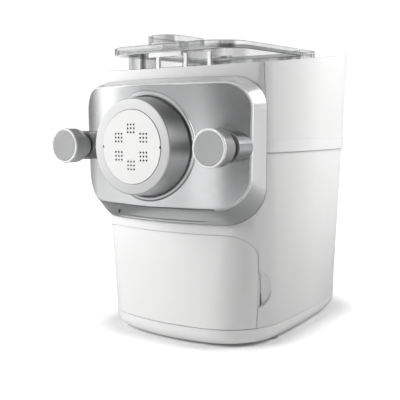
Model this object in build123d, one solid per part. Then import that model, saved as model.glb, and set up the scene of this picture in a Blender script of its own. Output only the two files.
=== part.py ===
from build123d import *
import math
import os

# Electric pasta maker. Millimetres, +Z up.
# Everything is first laid out about the extrusion axis: x to the right seen from the
# front, y from the extrusion face back into the machine, z up from the axis. SHIFT then
# puts the origin under the middle of the whole machine, on the surface it stands on.

# ---------------------------------------------------------------- driving sizes
FLOOR_Z = -185.0  # surface under the feet, below the extrusion axis
FRONT_Y = -0.6  # face of the clamp knobs, the foremost thing
REAR_Y = 290.75  # rearmost point of the housing
BASE_SEAM_Z = -167.3  # joint between housing and base
DRAWER_TOP_Z = -80.0  # seam above the drawer front
WALL = 2.6  # housing wall
TOP_Z0, TOP_Y0, TOP_SLOPE = 71.0, 44.0, 0.115  # sloping top rim: z at y, rise per mm
DECK_DROP, DECK_T = 2.2, 2.5  # deck below the rim, and its thickness

# plan of the housing at four heights:
# z, half width, front y, front bow radius, front corner radius,
# side radius, y of the widest point, rear corner radius, rear bow radius, rear y
PLAN = [
    (-167.3, 92.5, 43.8, 203.0, 59.0, 700.0, 140.0, 50.0, 600.0, 286.0),
    (-66.0, 96.2, 43.2, 220.0, 43.5, 760.0, 137.0, 50.0, 600.0, 288.0),
    (70.0, 101.0, 42.4, 218.0, 16.0, 900.0, 130.0, 50.0, 600.0, 290.2),
    (112.0, 102.4, 42.2, 218.0, 11.0, 930.0, 128.0, 50.0, 600.0, 291.0),
]

# front panel
PANEL_R, PANEL_Y, PANEL_LEAN = 188.0, 21.6, 0.0156  # bow of its face, foremost line at z 0, lean to the front per mm up
PANEL_W, PANEL_FLARE, PANEL_ZT, PANEL_ZB = 94.4, 0.011, 55.2, -54.6  # edge of the face
PANEL_CT, PANEL_CB = 22.0, 29.0  # its upper and lower corners
RIM_R, RIM_Y = 217.0, 41.2  # bow of the outer rim
RIM_W, RIM_ZT, RIM_ZB = 99.3, 61.7, -70.5
RIM_CT, RIM_CB = 28.0, 35.0
PANEL_T = 2.2

# die, nut and extrusion tube
DIE_R, DIE_FLANGE_R, DIE_GAP = 32.45, 36.8, 0.5
DIE_HOLE_R, DIE_PITCH, DIE_GROUP_R = 0.97, 3.4, 16.1
NUT_R, NUT_REAR_R, NUT_LEN = 42.4, 44.8, 32.0
TUBE_BORE_R, TUBE_R, THREAD_R = 30.5, 35.5, 38.0
COLLAR_RI, COLLAR_RO = 45.4, 49.6

# clamp knobs
KNOB_X, KNOB_R, KNOB_HEAD, KNOB_NECK_R = 81.5, 16.35, 17.6, 11.0
BOSS_R, STUD_R = 13.8, 5.0

# mixing chamber, paddle, gear train
CH_W, CH_T, CH_Y0, CH_Y1, CH_TOP = 69.3, 2.8, 64.5, 198.0, 95.0
SHAFT_R, AUGER_R, PADDLE_R = 8.0, 30.0, 58.0
M1, PINION_T, IDLER_T = 1.25, 14, 56
M2, IDLER2_T, OUT_T = 1.75, 14, 42
IDLER_ANG, MOTOR_ANG = 30.0, 45.0
MOTOR_R = 35.0

# lid
LID_W, LID_Y0, LID_Y1, LID_Z0, LID_Z1 = 73.4, 43.0, 218.0, 86.4, 93.1
LID_SLOPE, LID_CF = 0.0255, 33.0  # rise to the rear per mm, front corners
HINGE_Y, HINGE_Z = 224.0, 96.9
INLET, INLET_CR = (-24.7, 10.0, 45.2, 111.5, 101.65), 17.0

# drawer
DR_W0, DR_W1, DR_CR = 83.4, 87.4, 20.0  # half width at the bottom and at the top, top corners
TRAY_W, TRAY_Y1, TRAY_TOP = 76.0, 192.0, -88.0

SHIFT = Vector(0, -(FRONT_Y + REAR_Y) / 2, -FLOOR_Z)

os.makedirs("parts", exist_ok=True)
PARTS = {}


def put(name, *shapes):
    """Move shapes to the row frame and write them as one node."""
    solids = []
    for s in shapes:
        for one in s.solids():
            solids.append(one.moved(Location(SHIFT)))
    solids = [s for s in solids if s.volume > 1.0]
    shape = solids[0] if len(solids) == 1 else Compound(children=solids)
    PARTS[name] = shape
    export_step(shape, f"parts/{name}.step")
    print(name, len(solids), round(sum(s.volume for s in solids)))


def block(x0, x1, y0, y1, z0, z1):
    return Pos((x0 + x1) / 2, (y0 + y1) / 2, (z0 + z1) / 2) * Box(
        x1 - x0, y1 - y0, z1 - z0
    )


def rod_y(r, y0, y1, x=0.0, z=0.0):
    """Cylinder along Y."""
    return Pos(x, (y0 + y1) / 2, z) * (Rot(90, 0, 0) * Cylinder(r, y1 - y0))


def rod_x(r, x0, x1, y=0.0, z=0.0):
    return Pos((x0 + x1) / 2, y, z) * (Rot(0, 90, 0) * Cylinder(r, x1 - x0))


def rod_z(r, z0, z1, x=0.0, y=0.0):
    return Pos(x, y, (z0 + z1) / 2) * Cylinder(r, z1 - z0)


def lathe_y(points, x=0.0, z=0.0):
    """Solid of revolution about a line along Y; points are (radius, y)."""
    face = Face(Wire(Polyline(*[(r, y, 0) for r, y in points], close=True)))
    return Pos(x, 0, z) * revolve(face, Axis((0, 0, 0), (0, 1, 0)), 360)


def try_fillet(shape, edges, radius):
    """Round edges, with a smaller radius if the full one cannot be made."""
    for r in (radius, radius * 0.7, radius * 0.4):
        try:
            out = fillet(edges, r)
            if out.is_valid and out.volume > 0:
                return out
        except Exception:
            pass
    print("  fillet left out", radius)
    return shape


# ---------------------------------------------------------------- housing volume
def circle_pair(c1, r1, c2, r2, toward):
    """Point at distance r1 from c1 and r2 from c2, on the side of the given point."""
    dx, dy = c2[0] - c1[0], c2[1] - c1[1]
    d = math.hypot(dx, dy)
    a = (r1 * r1 - r2 * r2 + d * d) / (2 * d)
    h = math.sqrt(max(r1 * r1 - a * a, 0.0))
    mx, my = c1[0] + a * dx / d, c1[1] + a * dy / d
    p = (mx - h * dy / d, my + h * dx / d)
    q = (mx + h * dy / d, my - h * dx / d)
    return min(p, q, key=lambda s: math.dist(s, toward))


def plan_wire(row, off=0.0):
    z, w, yf, r1, rc, r2, ym, rr, r3, yr = row
    cf, cs, cr = (0.0, yf + r1), (w - r2, ym), (0.0, yr - r3)
    k1 = circle_pair(cf, r1 - rc, cs, r2 - rc, (w - rc, yf + rc))
    k2 = circle_pair(cs, r2 - rr, cr, r3 - rr, (w - rr, yr - rr))

    def on(c, r, p):
        d = math.dist(c, p)
        return (c[0] + (p[0] - c[0]) * r / d, c[1] + (p[1] - c[1]) * r / d)

    def mid(c, r, a, b):
        v = ((a[0] + b[0]) / 2, (a[1] + b[1]) / 2)
        return on(c, r, v)

    a = on(cf, r1 - off, k1)  # front bow to corner
    b = on(cs, r2 - off, k1)  # corner to side
    c = on(cs, r2 - off, k2)  # side to rear corner
    d = on(cr, r3 - off, k2)  # rear corner to rear bow

    def v(p, s=1):
        return (s * p[0], p[1], z)

    ab, bc, cd = mid(k1, rc - off, a, b), mid(cs, r2 - off, b, c), mid(k2, rr - off, c, d)
    return Wire(
        [
            ThreePointArc(v(a, -1), (0, yf + off, z), v(a)).edge(),
            ThreePointArc(v(a), v(ab), v(b)).edge(),
            ThreePointArc(v(b), v(bc), v(c)).edge(),
            ThreePointArc(v(c), v(cd), v(d)).edge(),
            ThreePointArc(v(d), (0, yr - off, z), v(d, -1)).edge(),
            ThreePointArc(v(d, -1), v(cd, -1), v(c, -1)).edge(),
            ThreePointArc(v(c, -1), v(bc, -1), v(b, -1)).edge(),
            ThreePointArc(v(b, -1), v(ab, -1), v(a, -1)).edge(),
        ]
    )


_bodies = {}


def body(off=0.0):
    if off not in _bodies:
        _bodies[off] = Solid.make_loft([plan_wire(r, off) for r in PLAN], False)
    return _bodies[off]


def top_z(y):
    return TOP_Z0 + TOP_SLOPE * (y - TOP_Y0)


def below_top(drop=0.0, z0=-400.0):
    """Everything under the sloping top plane, lowered by drop."""
    pts = [(-200, z0), (400, z0), (400, top_z(400) - drop), (-200, top_z(-200) - drop)]
    face = Face(Wire(Polyline(*[(-150, y, z) for y, z in pts], close=True)))
    return extrude(face, 300, dir=(1, 0, 0))


def round_rect_xz(w0, w1, z0, z1, r, y0, y1):
    """Prism along Y with a rounded rectangle in X and Z."""
    sketch = RectangleRounded(w1 - w0, z1 - z0, r)
    return Pos((w0 + w1) / 2, y0, (z0 + z1) / 2) * (
        Rot(90, 0, 0) * Pos(0, 0, -(y1 - y0)) * extrude(sketch, y1 - y0)
    )


def shield(wt, wb, zt, zb, ct, cb, y0, y1):
    """Prism along Y: half width wt at the top and wb at the bottom, corners ct and cb."""
    face = Face(Wire(Polyline((wb, zb, 0), (wt, zt, 0), (-wt, zt, 0), (-wb, zb, 0), close=True)))
    up = [p for p in face.vertices() if p.Y > (zt + zb) / 2]
    face = fillet(up, ct)
    low = [p for p in face.vertices() if p.Y < zb + 0.01]
    if cb:
        face = fillet(low, cb)
    face = face.faces()[0]
    return Pos(0, y1, 0) * (Rot(90, 0, 0) * extrude(face, y1 - y0, dir=(0, 0, 1)))


def plan_prism(x, y0, y1, z0, z1, rf, rb):
    """Upright prism, plan -x..x by y0..y1, front corners rf, rear corners rb."""
    sk = Pos(0, (y0 + y1) / 2) * Rectangle(2 * x, y1 - y0)
    front = [p for p in sk.vertices() if p.Y < (y0 + y1) / 2]
    sk = fillet(front, rf)
    if rb:
        rear = [p for p in sk.vertices() if p.Y > y1 - 0.01]
        sk = fillet(rear, rb)
    return Pos(0, 0, z0) * extrude(sk, z1 - z0)


# ---------------------------------------------------------------- housing shell
shell = body(0.0) - body(WALL)
shell = shell & below_top()
DR_TAPER = (DR_W1 - DR_W0) / (DRAWER_TOP_Z - BASE_SEAM_Z)


def drawer_outline(gap):
    """The drawer front's outline grown by gap; its sides follow the housing's taper."""
    zt, zb = DRAWER_TOP_Z + gap, -240.0
    return shield(
        DR_W1 + gap + DR_TAPER * gap, DR_W0 + gap + DR_TAPER * (zb - BASE_SEAM_Z), zt, zb, DR_CR + gap, 0, -20, 140
    )


drawer_gate = drawer_outline(0.4)
fascia_cut = block(-95.45, 95.45, -20, 70.15, -60.3, 130)
housing = shell - drawer_gate - fascia_cut
# finger scoops behind the two edges of the drawer front: shallow round recesses, deepest at the
# drawer's edge and towards the bottom
SCOOP_R, SCOOP_DEPTH, SCOOP_AT, SCOOP_N = 17.3, 2.6, (84.9, 74.64, -131.0), (0.856, -0.517, -0.13)
pads = (body(WALL - 0.1) - body(8.4)) & block(-99, 99, 60, 101, -154, -108)
pads = pads - drawer_outline(0.4)
housing = housing + pads
scoop = Pos(0, 0, 7) * Cylinder(SCOOP_R, 14)
scoop = try_fillet(scoop, scoop.edges().sort_by(Axis.Z)[:1], 1.6)
for s in (-1, 1):
    n = Vector(s * SCOOP_N[0], SCOOP_N[1], SCOOP_N[2]).normalized()
    at = Vector(s * SCOOP_AT[0], SCOOP_AT[1], SCOOP_AT[2]) - n * SCOOP_DEPTH
    housing = housing - Plane(origin=at, z_dir=n) * scoop
# vents, power socket opening and drip-off of the rear wall
for i in range(8):
    housing = housing - block(-42, 42, 270, 300, 22 - 7 * i, 25 - 7 * i)
housing = housing - block(-62, -30, 262, 300, -156, -132)
put("housing_shell", housing)

# upper front of the housing, behind and above the front panel
fascia = shell & block(-95.0, 95.0, -20, 70.0, -60.0, 130)
fascia = fascia - rod_y(50.0, 20, 90)
for s in (-1, 1):
    fascia = fascia - rod_y(STUD_R + 0.25, 30, 90, s * KNOB_X)
put("front_fascia", fascia)

# ---------------------------------------------------------------- top deck
deck = body(WALL + 0.25) & below_top(DECK_DROP) - below_top(DECK_DROP + DECK_T)
deck = deck - plan_prism(CH_W + 1.2, CH_Y0 - 1.2, CH_Y1 + 1.2, 0, 130, 24, 12)
deck = deck - block(-51, 51, CH_Y0 - 4.6, CH_Y0 + 2, 60, 100)
ALPHA = math.degrees(math.atan(TOP_SLOPE))


def on_deck(x, y, shape):
    """Put a shape made about the origin, +Z up, on the deck's surface at x, y."""
    z = top_z(y) - DECK_DROP
    return Pos(x, y, z) * (Rot(ALPHA, 0, 0) * shape)


BTN = [("button_start", -45.0), ("button_minus", -15.0), ("button_plus", 15.0), ("button_menu", 45.0)]
BTN_Y, BTN_R = 240.0, 6.0
for _, bx in BTN:
    deck = deck - on_deck(bx, BTN_Y, Cylinder(BTN_R + 0.3, 12))
window = extrude(RectangleRounded(96, 24, 4), 1.6)
deck = deck - on_deck(0, 263, Pos(0, 0, -1.6) * extrude(RectangleRounded(96.4, 24.4, 4.2), 6))
deck = deck - on_deck(0, 263, Pos(0, 0, -6) * extrude(RectangleRounded(84, 16, 3), 12))
put("top_deck", deck)
put("display_window", on_deck(0, 263, Pos(0, 0, -1.5) * window))
for name, bx in BTN:
    cap = Pos(0, 0, -3.2) * Cylinder(BTN_R, 8.4)
    cap = try_fillet(cap, cap.edges().sort_by(Axis.Z)[-1:], 0.8)
    cap = cap + Pos(0, 0, -5.4) * Cylinder(BTN_R + 1.3, 2.0)
    put(name, on_deck(bx, BTN_Y, cap))
put(
    "switches",
    *[on_deck(bx, BTN_Y, Pos(0, 0, -10.2) * Box(6, 6, 3.0)) for _, bx in BTN],
    block(84.5, 91.5, 118, 132, 60, 74),
)
board = on_deck(0, 251, Pos(0, 0, -12.8) * Box(112, 48, 1.6))
put("control_board", board)
put("display_module", on_deck(0, 263, Pos(0, 0, -5.2) * Box(80, 14, 4.6)))

# ---------------------------------------------------------------- base
base_rows = [(FLOOR_Z + 1.6,) + PLAN[0][1:], (BASE_SEAM_Z - 0.4,) + PLAN[0][1:]]
tub = Solid.make_loft([plan_wire(r, 0.0) for r in base_rows], True)
tub = try_fillet(tub, tub.faces().sort_by(Axis.Z)[0].edges(), 11.0)
base_in = [(FLOOR_Z + 5.2,) + PLAN[0][1:], (BASE_SEAM_Z + 5,) + PLAN[0][1:]]
hollow = Solid.make_loft([plan_wire(r, 3.2) for r in base_in], True)
hollow = try_fillet(hollow, hollow.faces().sort_by(Axis.Z)[0].edges(), 8.0)
tub = tub - hollow
FEET = [(-50, 96), (50, 96), (-60, 236), (60, 236)]
for fx, fy in FEET:
    tub = tub - rod_z(6.1, FLOOR_Z - 1, FLOOR_Z + 10, fx, fy)
for i in range(6):
    tub = tub - block(-34, 34, 208 + 9 * i, 212 + 9 * i, FLOOR_Z - 1, FLOOR_Z + 10)
POSTS = [(-72.0, 208.0), (72.0, 208.0), (-84.4, 110.0), (84.4, 110.0)]
for px, py in POSTS:
    tub = tub - rod_z(3.5, FLOOR_Z - 1, FLOOR_Z + 3.95, px, py) - rod_z(1.7, FLOOR_Z, FLOOR_Z + 12, px, py)
put("base_tray", tub)
put(
    "rubber_feet",
    *[
        rod_z(9.0, FLOOR_Z, FLOOR_Z + 1.5, fx, fy) + rod_z(6.0, FLOOR_Z + 1.4, FLOOR_Z + 5.6, fx, fy)
        for fx, fy in FEET
    ],
)
put("load_cells", *[block(fx - 9, fx + 9, fy - 9, fy + 9, FLOOR_Z + 5.8, FLOOR_Z + 10.4) for fx, fy in FEET])

# ---------------------------------------------------------------- chassis
inner = body(WALL + 0.6)
frame = (inner & block(-120, 120, 63.3, 300, -77.0, -73.6)) - block(-69, 56, 202, 300, -90, -60)
bulkhead = (body(WALL + 0.4) & block(-92, 92, 60.2, 63.4, -77.0, 66.0)) - rod_y(37.0, 50, 70)
back_plate = block(-78, 78, 199.2, 202.0, -75.0, 62.0) - rod_y(14.0, 190, 210)
frame = frame + bulkhead + back_plate
for s in (-1, 1):
    # chamber cradles and posts down to the base
    frame = frame + (block(s * 58 - 2, s * 58 + 2, 63.2, 199.4, -74.0, -42.0) - rod_y(CH_W + 0.3, 60, 210))
    frame = frame + block(s * 72 - 5, s * 72 + 5, 203, 213, -174.0, -74.0)
    frame = frame + block(s * 84.4 - 2.9, s * 84.4 + 2.9, 104, 116, -174.0, -74.0)
    frame = frame - rod_y(STUD_R - 1.9, 50, 80, s * KNOB_X)
for px, py in POSTS:
    frame = frame - rod_z(1.5, -175, -160, px, py)
put("chassis", frame)
put(
    "knob_studs",
    *[
        rod_y(STUD_R, 20.0, 59.9, s * KNOB_X) + rod_y(STUD_R - 2.0, 59.8, 66.0, s * KNOB_X)
        for s in (-1, 1)
    ],
)

# ---------------------------------------------------------------- mixing chamber
def trough(w, y0, y1, top, rf, rb):
    up = plan_prism(w, y0, y1, 0, top, rf, rb)
    low = plan_prism(w, y0, y1, -w - 5, 0.01, rf, rb) & rod_y(w, y0 - 1, y1 + 1)
    return up + low


def lid_tilt(shape):
    """Swing a shape made level into the slope of the lid."""
    a = math.degrees(math.atan(LID_SLOPE))
    return Pos(0, LID_Y0, LID_Z1) * (Rot(a, 0, 0) * (Pos(0, -LID_Y0, -LID_Z1) * shape))


chamber = trough(CH_W, CH_Y0, CH_Y1, CH_TOP, 24.0, 12.0) - trough(
    CH_W - CH_T, CH_Y0 + CH_T, CH_Y1 - CH_T, CH_TOP + 5, 21.2, 9.2
)
chamber = chamber - rod_y(TUBE_R + 0.5, CH_Y0 - 3, CH_Y0 + 8) - rod_y(12.0, CH_Y1 - 8, CH_Y1 + 3)
chamber = chamber - lid_tilt(block(-120, 120, 0, 300, LID_Z1 - 5.7, LID_Z1 + 60))
put("mixing_chamber", chamber)
put("shaft_seal", rod_y(11.9, CH_Y1 - 3.4, CH_Y1 + 0.9) - rod_y(SHAFT_R + 0.06, 150, 250))
# white retaining bar across the chamber mouth, behind the fascia
bar = block(-28, 10, CH_Y0 - 4.0, CH_Y0 - 0.3, 83.4, 87.4)
for bx in (-17.5, 14.5, 41.0):
    bar = bar + block(bx - 1.6, bx + 1.6, CH_Y0 - 3.6, CH_Y0 - 0.6, 66.5, 83.6 if bx < 0 else 85.4)
bar = bar + block(-50, 50, CH_Y0 - 3.9, CH_Y0 - 0.4, 66.3, 69.3)
put("chamber_clip", bar)

# ---------------------------------------------------------------- gears
def involute_gear(module, teeth, width, y0, x, z, bore, phase, thin=0.22):
    """Spur gear about a line along Y. phase is the angle in degrees of one tooth's middle,
    from +X towards +Z. thin is taken off each tooth's thickness for backlash."""
    rp = module * teeth / 2
    pa = math.radians(20)
    rb, ra, rf = rp * math.cos(pa), rp + 0.9 * module, rp - 1.2 * module
    inv = math.tan(pa) - pa
    half = (math.pi * module / 2 - thin) / (2 * rp) + inv
    pts = []
    for i in range(teeth):
        c = math.radians(phase) + 2 * math.pi * i / teeth
        flank = []
        r0 = max(rb, rf + 0.05)
        for k in range(6):
            r = r0 + (ra - r0) * k / 5
            t = math.sqrt(max((r / rb) ** 2 - 1, 0.0))
            flank.append((r, half - (t - math.atan(t))))
        pts.append((rf, c - half - 0.25 * module / rp))
        pts += [(r, c - a) for r, a in flank]
        pts += [(r, c + a) for r, a in reversed(flank)]
        pts.append((rf, c + half + 0.25 * module / rp))
    xz = [(r * math.cos(a), r * math.sin(a)) for r, a in pts]
    face = Face(Wire(Polyline(*[(px + x, y0, pz + z) for px, pz in xz], close=True)))
    g = extrude(face, width, dir=(0, 1, 0))
    return g - rod_y(bore, y0 - 1, y0 + width + 1, x, z)


D1 = M1 * (PINION_T + IDLER_T) / 2
D2 = M2 * (IDLER2_T + OUT_T) / 2
IX, IZ = -D2 * math.sin(math.radians(IDLER_ANG)), -D2 * math.cos(math.radians(IDLER_ANG))
MX, MZ = IX + D1 * math.sin(math.radians(MOTOR_ANG)), IZ - D1 * math.cos(math.radians(MOTOR_ANG))
# a tooth of the driven wheel points at its partner's centre, the partner has a gap there
a_oi = math.degrees(math.atan2(IZ, IX))
a_io = a_oi + 180
a_im = math.degrees(math.atan2(MZ - IZ, MX - IX))
a_mi = a_im + 180
out_gear = involute_gear(M2, OUT_T, 10, 207, 0, 0, SHAFT_R, a_oi)
for k in range(6):
    a = math.radians(60 * k)
    out_gear = out_gear - rod_y(6.5, 200, 230, 22 * math.cos(a), 22 * math.sin(a))
idler_small = involute_gear(M2, IDLER2_T, 11.2, 206.4, IX, IZ, 4.05, a_io + 180 / IDLER2_T)
idler_big = involute_gear(M1, IDLER_T, 6, 218.6, IX, IZ, 4.05, a_im)
for k in range(6):
    a = math.radians(60 * k)
    idler_big = idler_big - rod_y(5.5, 200, 230, IX + 21 * math.cos(a), IZ + 21 * math.sin(a))
idler_hub = rod_y(9.5, 217.5, 218.7, IX, IZ) - rod_y(4.05, 200, 230, IX, IZ)
idler = idler_small + idler_hub + idler_big
pinion = involute_gear(M1, PINION_T, 7.4, 218.0, MX, MZ, 3.0, a_mi + 180 / PINION_T)
put("output_gear", out_gear)
put("idler_gear", idler)
put("motor_pinion", pinion)

# gearbox: cup screwed to the chassis back plate, closed by a cover that carries the motor
def gearbox_prism(grow, y0, y1):
    a = rod_y(41.5 + grow, y0, y1)
    b = rod_y(39.5 + grow, y0, y1, IX, IZ)
    c = rod_y(14.0 + grow, y0, y1, MX, MZ)
    return a + b + c


GEARBOX_LUGS = [
    (46.5 * math.cos(math.radians(95)), 46.5 * math.sin(math.radians(95))),
    (46.5 * math.cos(math.radians(15)), 46.5 * math.sin(math.radians(15))),
    (IX - 44.5, IZ),
    (IX + 44.5 * math.cos(math.radians(-100)), IZ + 44.5 * math.sin(math.radians(-100))),
]
cup = gearbox_prism(3.0, 202.3, 227.6)
cover = gearbox_prism(3.0, 227.9, 230.9)
for x, z in GEARBOX_LUGS:
    cup = cup + rod_y(4.6, 212, 227.6, x, z)
    cover = cover + rod_y(4.6, 227.9, 230.9, x, z)
cup = cup - gearbox_prism(0.0, 205.2, 230) - rod_y(13.05, 200, 210)
cover = cover - rod_y(11.05, 225, 235) - rod_y(9.0, 225, 235, MX, MZ)
for x, z in GEARBOX_LUGS:
    cup = cup - rod_y(1.5, 215, 230, x, z)
    cover = cover - rod_y(1.7, 225, 235, x, z)
put("gearbox_housing", cup)
put("gearbox_cover", cover)
put("idler_axle", rod_y(4.0, 205.3, 227.8, IX, IZ))
put(
    "output_bearings",
    rod_y(13.0, 202.4, 205.9) - rod_y(SHAFT_R + 0.05, 200, 210),
    rod_y(11.0, 227.9, 230.9) - rod_y(SHAFT_R + 0.05, 220, 240),
)
can = rod_y(MOTOR_R, 233.0, 280.5, MX, MZ) - rod_y(MOTOR_R - 2.0, 235.0, 278.5, MX, MZ)
can = can - rod_y(6.05, 230, 284, MX, MZ)
for k in range(8):
    a = math.radians(45 * k + 22.5)
    can = can - rod_y(4.5, 276, 284, MX + 24 * math.cos(a), MZ + 24 * math.sin(a))
can = can + (rod_y(17.0, 231.1, 233.2, MX, MZ) - rod_y(6.05, 225, 240, MX, MZ))
put("motor_housing", can)
rotor = rod_y(3.0, 217.0, 283.5, MX, MZ)
put("motor_shaft", rotor)
arm = rod_y(21.0, 240.0, 266.0, MX, MZ)
for k in range(12):
    a = math.radians(30 * k)
    arm = arm - rod_y(1.6, 239, 267, MX + 20.2 * math.cos(a), MZ + 20.2 * math.sin(a))
arm = arm + rod_y(9.0, 266.0, 275.0, MX, MZ) - rod_y(3.0, 230, 290, MX, MZ)
put("motor_armature", arm)
stator = rod_y(32.8, 242.0, 264.0, MX, MZ) - rod_y(21.8, 235, 270, MX, MZ)
for s in (-1, 1):
    stator = stator - Pos(MX + s * 30, 253, MZ) * Box(20, 30, 14)
put("motor_stator", stator)

# ---------------------------------------------------------------- drive shaft, paddle, auger
shaft = rod_y(SHAFT_R, 178.0, 232.0)
put("drive_shaft", shaft)
hub = rod_y(15.0, 79.0, 190.0) - rod_y(SHAFT_R, 177.9, 195.0)
hub = try_fillet(hub, hub.edges().filter_by(GeomType.CIRCLE).sort_by(Axis.Y)[:1], 2.0)
arms = None
for y, s in ((92.0, 1), (126.0, -1), (160.0, 1)):
    blade = block(0, PADDLE_R, y - 5, y + 5, -5.5, 5.5) + (
        block(PADDLE_R - 9, PADDLE_R, y - 5, y + 24, -5.5, 5.5)
    )
    if s < 0:
        blade = Rot(0, 180, 0) * blade
    arms = blade if arms is None else arms + blade
paddle = hub + arms
paddle = paddle - rod_y(SHAFT_R, 177.9, 195.0)
put("mixing_paddle", paddle)
# auger: a core with one helical flight, twisted one and a half turns
flight = Pos(0, 0) * Circle(9.5) + Pos(AUGER_R / 2 - 0.6, 0) * Rectangle(AUGER_R - 1.2, 9.0)
flight = flight + Pos(AUGER_R - 4.7, 0) * Circle(4.6)
screw = Solid.extrude_linear_with_rotation(flight.face(), center=(0, 0, 0), normal=(0, 0, 62), angle=540)
screw = Pos(0, 77.5, 0) * (Rot(90, 0, 0) * screw)
screw = screw + rod_y(6.5, 11.0, 78.9)
put("extruder_auger", screw)

# ---------------------------------------------------------------- front panel
def bow(radius, y, z0=-200, z1=200, lean=0.0):
    """Round solid whose foremost line is at y where z is 0, leaning to the front by lean."""
    post = rod_z(radius, z0, z1, 0, radius)
    return Pos(0, y, 0) * (Rot(math.degrees(math.atan(lean)), 0, 0) * post)


def rim_wire(w, flare, zt, zb, ct, cb, radius, y, lean):
    """Rounded outline laid on a bowed face."""
    prism = shield(w + flare * zt, w + flare * zb, zt, zb, ct, cb, y - 8, y + radius * 0.8)
    cut = prism & bow(radius, y, -200, 200, lean)
    best = None
    for f in cut.faces():
        c = f.center()
        if f.geom_type == GeomType.CYLINDER and f.area > 0.5 * 2 * w * (zt - zb):
            best = f if best is None or c.Y < best.center().Y else best
    return best.outer_wire()


def panel_solid(off, k0, k1):
    """Bowed face with a sloping bevel all round; off shrinks it. k runs from the edge of
    the face (0) to the outer rim (1)."""

    def section(k):
        w = PANEL_W + (RIM_W - PANEL_W) * k - off
        zt = PANEL_ZT + (RIM_ZT - PANEL_ZT) * k - off
        zb = PANEL_ZB + (RIM_ZB - PANEL_ZB) * k + off
        y = PANEL_Y + (RIM_Y - PANEL_Y) * k + off
        ct = PANEL_CT + (RIM_CT - PANEL_CT) * k - 0.6 * off
        cb = PANEL_CB + (RIM_CB - PANEL_CB) * k - 0.6 * off
        r = PANEL_R + (RIM_R - PANEL_R) * k - off
        return rim_wire(w, PANEL_FLARE * (1 - k), zt, zb, ct, cb, r, y, PANEL_LEAN * (1 - k))

    return Solid.make_loft([section(k0), section(k1)], True)


panel = panel_solid(0.0, -0.25, 1.0) & bow(PANEL_R, PANEL_Y, lean=PANEL_LEAN)
panel_in = panel_solid(PANEL_T, -0.25, 1.3) & bow(PANEL_R - PANEL_T, PANEL_Y + PANEL_T, lean=PANEL_LEAN)
panel = panel - panel_in - rod_y(COLLAR_RO + 0.1, 0, 90)
for s in (-1, 1):
    panel = panel - rod_y(8.0, 0, 90, s * KNOB_X)
put("front_panel", panel)

# collar: bright lip that lines the opening round the nut and follows the bow
collar = (rod_y(COLLAR_RO, 5, 34.1) - rod_y(COLLAR_RI, 0, 60)) & bow(PANEL_R + 1.0, PANEL_Y - 1.0, lean=PANEL_LEAN)
lip = [e for e in collar.edges() if e.center().Y < 30]
collar = try_fillet(collar, lip, 1.5)
put("nut_collar", collar)
FLANGE_SCREWS = [(41.0 * math.cos(math.radians(a)), 41.0 * math.sin(math.radians(a))) for a in (45, 135, 225, 315)]
back = round_rect_xz(-60, 60, -46, 48, 20, 34.3, 37.0) - rod_y(TUBE_R + 0.2, 30, 40)
tube = lathe_y([
    (TUBE_BORE_R, 6.9), (THREAD_R, 6.9), (THREAD_R, 32.8), (TUBE_R, 33.2), (TUBE_R, 37.3),
    (46.0, 37.3), (46.0, 40.3), (TUBE_R, 40.6), (TUBE_R, CH_Y0 + CH_T + 0.1), (TUBE_BORE_R, CH_Y0 + CH_T + 0.1),
])
for x, z in FLANGE_SCREWS:
    back = back - rod_y(1.6, 30, 40, x, z)
    tube = tube - rod_y(1.6, 30, 45, x, z)
put("panel_back", back)
put("extrusion_tube", tube)
put("tube_seal", rod_y(44.0, 57.2, 59.9) - rod_y(TUBE_R + 0.3, 50, 70))
bosses = []
for s in (-1, 1):
    b = (rod_y(BOSS_R, 25.6, 60, s * KNOB_X) - bow(PANEL_R + 0.05, PANEL_Y - 0.05, -30, 30, PANEL_LEAN))
    b = b.solids().sort_by(Axis.Y)[0]
    b = try_fillet(b, b.edges().sort_by(Axis.Y)[:1], 0.8)
    bosses.append(b - rod_y(STUD_R + 0.4, 0, 90, s * KNOB_X))
put("knob_bosses", *bosses)

# ---------------------------------------------------------------- die and nut
die = lathe_y([(0, FRONT_Y + 0.15), (DIE_R, FRONT_Y + 0.15), (DIE_R, 3.5), (DIE_FLANGE_R, 3.5), (DIE_FLANGE_R, 6.8), (0, 6.8)])
holes = None
for k in range(6):
    a = math.radians(30 + 60 * k)
    for i in (-1, 0, 1):
        for j in (-1, 0, 1):
            h = rod_y(DIE_HOLE_R, -2, 9, DIE_GROUP_R * math.cos(a) + i * DIE_PITCH, DIE_GROUP_R * math.sin(a) + j * DIE_PITCH)
            holes = h if holes is None else holes + h
die = die - holes
for s in (-1, 1):
    die = die - block(s * DIE_R - 1.3, s * DIE_R + 1.3, -3, 1.8, -1.0, 1.0)
put("shaping_disc", die)
nut = lathe_y([
    (DIE_R + DIE_GAP, 0.0), (NUT_R - 1.6, 0.0), (NUT_R - 0.75, 0.22), (NUT_R - 0.2, 0.8), (NUT_R, 1.7), (NUT_REAR_R, NUT_LEN * 0.75), (NUT_REAR_R, NUT_LEN),
    (THREAD_R + 0.08, NUT_LEN), (THREAD_R + 0.08, 3.2), (DIE_R + DIE_GAP, 3.2),
])
put("die_nut", nut)

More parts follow.
